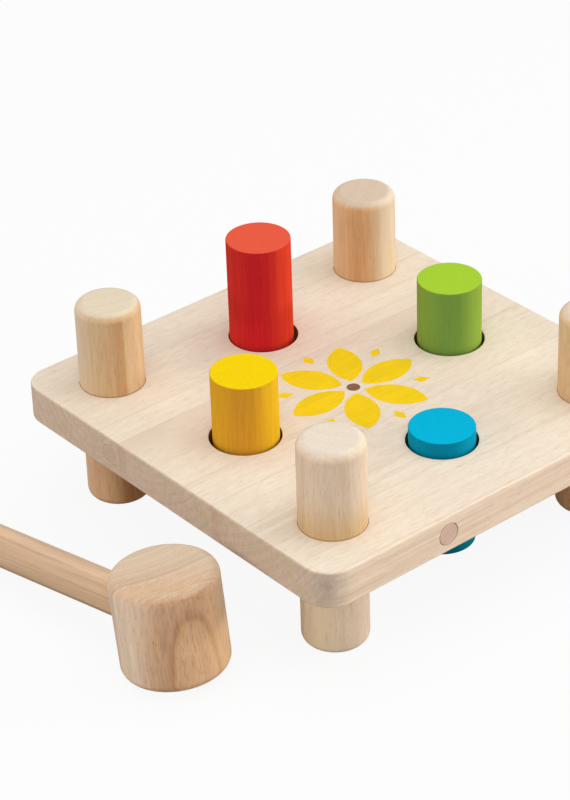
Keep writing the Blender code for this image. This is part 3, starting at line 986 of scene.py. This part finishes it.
class BENCH_OT_rosette(bpy.types.Operator):
    """Print the rosette in the middle of the deck"""

    bl_idname = "bench.rosette"
    bl_label = "Printed rosette"

    def execute(self, context):
        sizes = context.scene.bench_sizes
        tones = context.scene.bench_colours
        half = (sizes.petal_outer - sizes.petal_inner) / 2
        bow = (half * half + sizes.petal_half ** 2) / (2 * sizes.petal_half)
        sweep = 2 * math.asin(half / bow)
        heart = Vector(((sizes.petal_outer + sizes.petal_inner) / 2, sizes.petal_half - bow, 0.0))
        petals = bmesh.new()
        turn = 2 * math.pi / sizes.petals
        tip = petals.verts.new((sizes.petal_outer, 0.0, 0.0))
        bmesh.ops.spin(petals, geom=[tip], cent=heart, axis=UP, angle=sweep, steps=28)
        bmesh.ops.mirror(petals, geom=petals.verts[:] + petals.edges[:], axis="Y", merge_dist=TINY)
        bmesh.ops.remove_doubles(petals, verts=petals.verts, dist=TINY)
        bmesh.ops.contextual_create(petals, geom=petals.edges[:])
        between = Matrix.Rotation(turn / 2, 4, "Z")
        slim = Matrix.Diagonal((1.0, sizes.lozenge_slim, 1.0, 1.0))
        bmesh.ops.create_circle(
            petals, cap_ends=True, segments=4, radius=sizes.lozenge,
            matrix=between @ Matrix.Translation((sizes.lozenge_reach, 0.0, 0.0)) @ slim,
        )
        motif = petals.verts[:] + petals.edges[:] + petals.faces[:]
        for count in range(1, sizes.petals):
            copy = bmesh.ops.duplicate(petals, geom=motif)["geom"]
            points = [item for item in copy if isinstance(item, bmesh.types.BMVert)]
            bmesh.ops.rotate(petals, verts=points, matrix=Matrix.Rotation(count * turn, 3, "Z"))
        self.lay(petals, "rosette_petals", ink("petal_ink", tones.ink), sizes)
        dot = bmesh.new()
        bmesh.ops.create_circle(dot, cap_ends=True, segments=48, radius=sizes.heart)
        self.lay(dot, "rosette_heart", ink("heart_ink", tones.ink_dark), sizes)
        return {"FINISHED"}

    def lay(self, shape, name, material, sizes):
        """Give a flat motif its thickness and put it on the deck."""
        raised = bmesh.ops.extrude_face_region(shape, geom=shape.faces[:])["geom"]
        points = [item for item in raised if isinstance(item, bmesh.types.BMVert)]
        bmesh.ops.translate(shape, verts=points, vec=(0.0, 0.0, 2 * sizes.print_height))
        low = DECK_HIGH.z - sizes.print_height
        place = Matrix.Translation((DECK_MIDDLE.x, DECK_MIDDLE.y - sizes.rosette_shift, low))
        piece(name, put(shape, place), material, "bench")


class BENCH_OT_legs(bpy.types.Operator):
    """Turn the four legs that pass through the deck"""

    bl_idname = "bench.legs"
    bl_label = "Legs"

    def execute(self, context):
        for corner in CORNERS:
            node = f"leg_{corner}"
            shape, place = standing(node, context.scene.bench_sizes.leg_round, 8)
            wood = leg_timber(corner, place, context.scene.bench_colours)
            piece(f"{corner}_leg", shape, wood, "bench", (node,))
        return {"FINISHED"}


class BENCH_OT_pegs(bpy.types.Operator):
    """Turn and stain the four loose pegs"""

    bl_idname = "bench.pegs"
    bl_label = "Pegs"

    def execute(self, context):
        for dye in DYES:
            node = f"peg_{dye}"
            shape, place = standing(node, context.scene.bench_sizes.peg_round, 4)
            wood = stain(dye, place, context.scene.bench_colours)
            piece(f"{dye}_peg", shape, wood, f"{dye}_peg", (node,))
        return {"FINISHED"}


# Which way a dowel lies in a loose bore, as shares of its play
PLUG_LIES = (0.8, -0.6)


class BENCH_OT_friction_units(bpy.types.Operator):
    """Set the rubber rods and the retaining dowels in the deck's edges"""

    bl_idname = "bench.friction_units"
    bl_label = "Friction units"

    def execute(self, context):
        sizes = context.scene.bench_sizes
        tones = context.scene.bench_colours
        black = rubber(tones)
        for dye in DYES:
            rod, dowel = f"friction_rod_{dye}", f"retaining_dowel_{dye}"
            place = bore_place(dye)
            wide = span(rod).z
            half = sizes.rod_length / 2
            shape = put(bar(wide, -half, half, sizes.rod_round, SMALL_SIDES, 4), place)
            piece(f"rubber_rod_{dye}", shape, black, "bench", (rod,))
            start = half + sizes.rod_gap
            end = 2 * (middle(dowel) - middle(rod)).length - start + sizes.plug_rise
            shape = bar(wide, start, end, sizes.plug_round, SMALL_SIDES, 3)
            if crosses_grain(place):
                put(shape, Matrix.Translation([lie * sizes.plug_seam for lie in PLUG_LIES] + [0.0]))
            wood = plug_timber(dye, place, tones)
            piece(f"plug_{dye}", put(shape, place), wood, "bench", (dowel,))
        return {"FINISHED"}


class BENCH_OT_mallet_head(bpy.types.Operator):
    """Turn the mallet's head and bore the seat for its handle"""

    bl_idname = "bench.mallet_head"
    bl_label = "Mallet head"

    def execute(self, context):
        sizes = context.scene.bench_sizes
        place = mallet_place(sizes)
        half = sizes.head_length / 2
        blank = bar(sizes.head_diameter, -half, half, sizes.head_round, HEAD_SIDES, 10)
        seat = sizes.head_diameter / 2 - sizes.handle_seat
        wide = sizes.handle_diameter + 2 * sizes.leg_gap
        tool = put(bar(wide, seat - sizes.leg_gap, sizes.head_diameter), QUARTER)
        shape = put(carve(blank, [tool]), place)
        wood = head_timber(place, context.scene.bench_colours)
        piece("head_of_mallet", shape, wood, "mallet", ("mallet_head",))
        return {"FINISHED"}


class BENCH_OT_mallet_handle(bpy.types.Operator):
    """Turn the mallet's handle"""

    bl_idname = "bench.mallet_handle"
    bl_label = "Mallet handle"

    def execute(self, context):
        sizes = context.scene.bench_sizes
        place = mallet_place(sizes) @ QUARTER
        seat = sizes.head_diameter / 2 - sizes.handle_seat
        shape = put(bar(sizes.handle_diameter, seat, sizes.handle_reach, sizes.handle_round), place)
        wood = handle_timber(place, context.scene.bench_colours)
        piece("handle_of_mallet", shape, wood, "mallet", ("mallet_handle",))
        return {"FINISHED"}


# Half of the floor's side, and the camera's long side in millimetres
FLOOR_HALF = 6.0
SENSOR = 36.0
# Each lamp's place, and its width and height
LAMPS = {
    "top": ((0.15, -0.05, 1.55), (1.5, 1.5)),
    "side": ((1.45, -0.95, 0.42), (1.8, 0.16)),
    "front": ((-0.75, -0.95, 1.05), (0.9, 0.9)),
    "fill": ((-1.4, 0.4, 0.55), (1.4, 0.3)),
}


class BENCH_OT_studio(bpy.types.Operator):
    """Set up the floor, the lamps and the camera"""

    bl_idname = "bench.studio"
    bl_label = "Studio"

    def execute(self, context):
        scene = context.scene
        studio = scene.bench_studio
        self.floor(scene.bench_colours, studio)
        self.sky(scene, studio)
        for name, (place, sides) in LAMPS.items():
            self.lamp(f"{name}_lamp", place, sides, getattr(studio, f"{name}_power"))
        lens = bpy.data.cameras.new("camera")
        lens.sensor_width = SENSOR
        lens.lens = studio.lens
        camera = link("camera", lens)
        turn = Matrix.Rotation(studio.azimuth, 4, "Z")
        turn = turn @ Matrix.Rotation(math.radians(90.0) - studio.elevation, 4, "X")
        turn = turn @ Matrix.Rotation(-studio.roll, 4, "Z")
        back = Matrix.Translation((0.0, 0.0, studio.distance))
        camera.matrix_world = Matrix.Translation(studio.aim) @ turn @ back
        scene.camera = camera
        scene.view_settings.view_transform = "Standard"
        return {"FINISHED"}

    def show(self, nodes, output, lights, shown):
        """Light the set with one shader, and show another to the camera, in reflections and through glass."""
        path = nodes.step("ShaderNodeLightPath").outputs
        seen = path["Is Camera Ray"]
        for name in ("Is Glossy Ray", "Is Transmission Ray"):
            seen = nodes.sums("MAXIMUM", seen, path[name])
        choice = nodes.step("ShaderNodeMixShader", {0: seen, 1: lights.outputs[0], 2: shown.outputs[0]})
        nodes.step(output, {"Surface": choice.outputs[0]})

    def floor(self, tones, studio):
        """Lay a pale floor that keeps the set's shadow."""
        shape = bmesh.new()
        bmesh.ops.create_grid(shape, x_segments=2, y_segments=2, size=FLOOR_HALF)
        material = bpy.data.materials.new("pale_floor")
        material.use_nodes = True
        nodes = Nodes(material.node_tree)
        nodes.tree.nodes.clear()
        matt = nodes.step("ShaderNodeBsdfDiffuse", {"Color": opaque(tones.floor)})
        soft = nodes.step("ShaderNodeBsdfDiffuse", {"Color": opaque(tones.floor_shown)})
        glow = nodes.step("ShaderNodeEmission", {"Strength": studio.floor_glow})
        both = nodes.step("ShaderNodeAddShader", {0: soft.outputs[0], 1: glow.outputs[0]})
        self.show(nodes, "ShaderNodeOutputMaterial", matt, both)
        mesh = as_mesh("floor", shape)
        mesh.materials.append(material)
        link("floor", mesh)

    def sky(self, scene, studio):
        """Light the set evenly, and show white where the camera sees past the floor."""
        world = bpy.data.worlds.new("studio_sky")
        scene.world = world
        world.use_nodes = True
        nodes = Nodes(world.node_tree)
        nodes.tree.nodes.clear()
        even = nodes.step("ShaderNodeBackground", {"Color": WHITE, "Strength": studio.sky})
        white = nodes.step("ShaderNodeBackground", {"Color": WHITE})
        self.show(nodes, "ShaderNodeOutputWorld", even, white)

    def lamp(self, name, place, sides, power):
        """Hang a soft lamp, so wide and so high, that looks at the bench."""
        light = bpy.data.lights.new(name, "AREA")
        light.shape = "RECTANGLE"
        light.size, light.size_y = sides
        light.energy = power
        turn = (DECK_MIDDLE - Vector(place)).to_track_quat("-Z", "Y").to_matrix().to_4x4()
        link(name, light).matrix_world = Matrix.Translation(place) @ turn


STEPS = (
    BENCH_OT_deck,
    BENCH_OT_rosette,
    BENCH_OT_legs,
    BENCH_OT_pegs,
    BENCH_OT_friction_units,
    BENCH_OT_mallet_head,
    BENCH_OT_mallet_handle,
    BENCH_OT_studio,
)


class BENCH_PT_pieces(bpy.types.Panel):
    """List the pieces in the sidebar"""

    bl_idname = "BENCH_PT_pieces"
    bl_label = "Pounding Bench"
    bl_space_type = "VIEW_3D"
    bl_region_type = "UI"
    bl_category = "Pounding Bench"

    def draw(self, context):
        for step in STEPS:
            self.layout.operator(step.bl_idname)
        for group in (context.scene.bench_sizes, context.scene.bench_colours, context.scene.bench_studio):
            column = self.layout.box().column()
            for name in group.bl_rna.properties.keys():
                if name not in ("rna_type", "name"):
                    column.prop(group, name)


CLASSES = (BenchSizes, BenchColours, BenchStudio, *STEPS, BENCH_PT_pieces)


def register():
    """Add the classes and their settings to Blender."""
    for item in CLASSES:
        bpy.utils.register_class(item)
    bpy.types.Scene.bench_sizes = PointerProperty(type=BenchSizes)
    bpy.types.Scene.bench_colours = PointerProperty(type=BenchColours)
    bpy.types.Scene.bench_studio = PointerProperty(type=BenchStudio)


def unregister():
    """Take the classes and their settings out again."""
    del bpy.types.Scene.bench_studio
    del bpy.types.Scene.bench_colours
    del bpy.types.Scene.bench_sizes
    for item in reversed(CLASSES):
        bpy.utils.unregister_class(item)


def main():
    """Make every piece in order."""
    register()
    bpy.ops.bench.deck()
    bpy.ops.bench.rosette()
    bpy.ops.bench.legs()
    bpy.ops.bench.pegs()
    bpy.ops.bench.friction_units()
    bpy.ops.bench.mallet_head()
    bpy.ops.bench.mallet_handle()
    bpy.ops.bench.studio()


if __name__ == "__main__":
    main()
